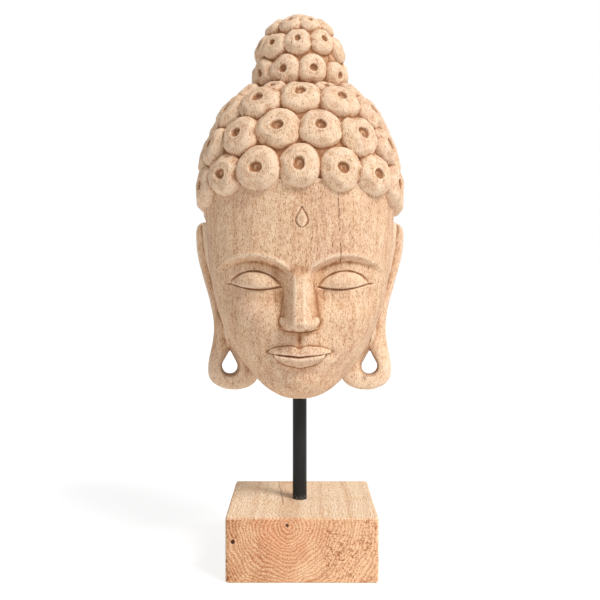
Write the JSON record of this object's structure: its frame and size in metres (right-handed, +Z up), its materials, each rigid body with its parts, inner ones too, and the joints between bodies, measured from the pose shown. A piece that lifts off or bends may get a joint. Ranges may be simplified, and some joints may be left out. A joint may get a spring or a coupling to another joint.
{
  "type": "carved wooden buddha head on stand",
  "caption": "Carved pale wooden Buddha head with rows of curls, a topknot and long pierced ear lobes, on a black steel rod set in a square wooden block.",
  "frame": {"origin": "middle of the block's underside, on the surface that it stands on", "axes": "+Z up along the rod, the face looks along -Y, +X to the viewer's right as one faces it"},
  "size_m": [0.196, 0.1831, 0.4986],
  "materials": {
    "block_wood": "matte, sawn and lightly sanded, end grain in front",
    "rod_steel": "satin black",
    "head_wood": "matte, dry, hand carved, upright grain"
  },
  "bodies": {
    "root": {"base_block": "block_wood", "rod": "rod_steel", "buddha_head": "head_wood"}
  },
  "joints": []
}
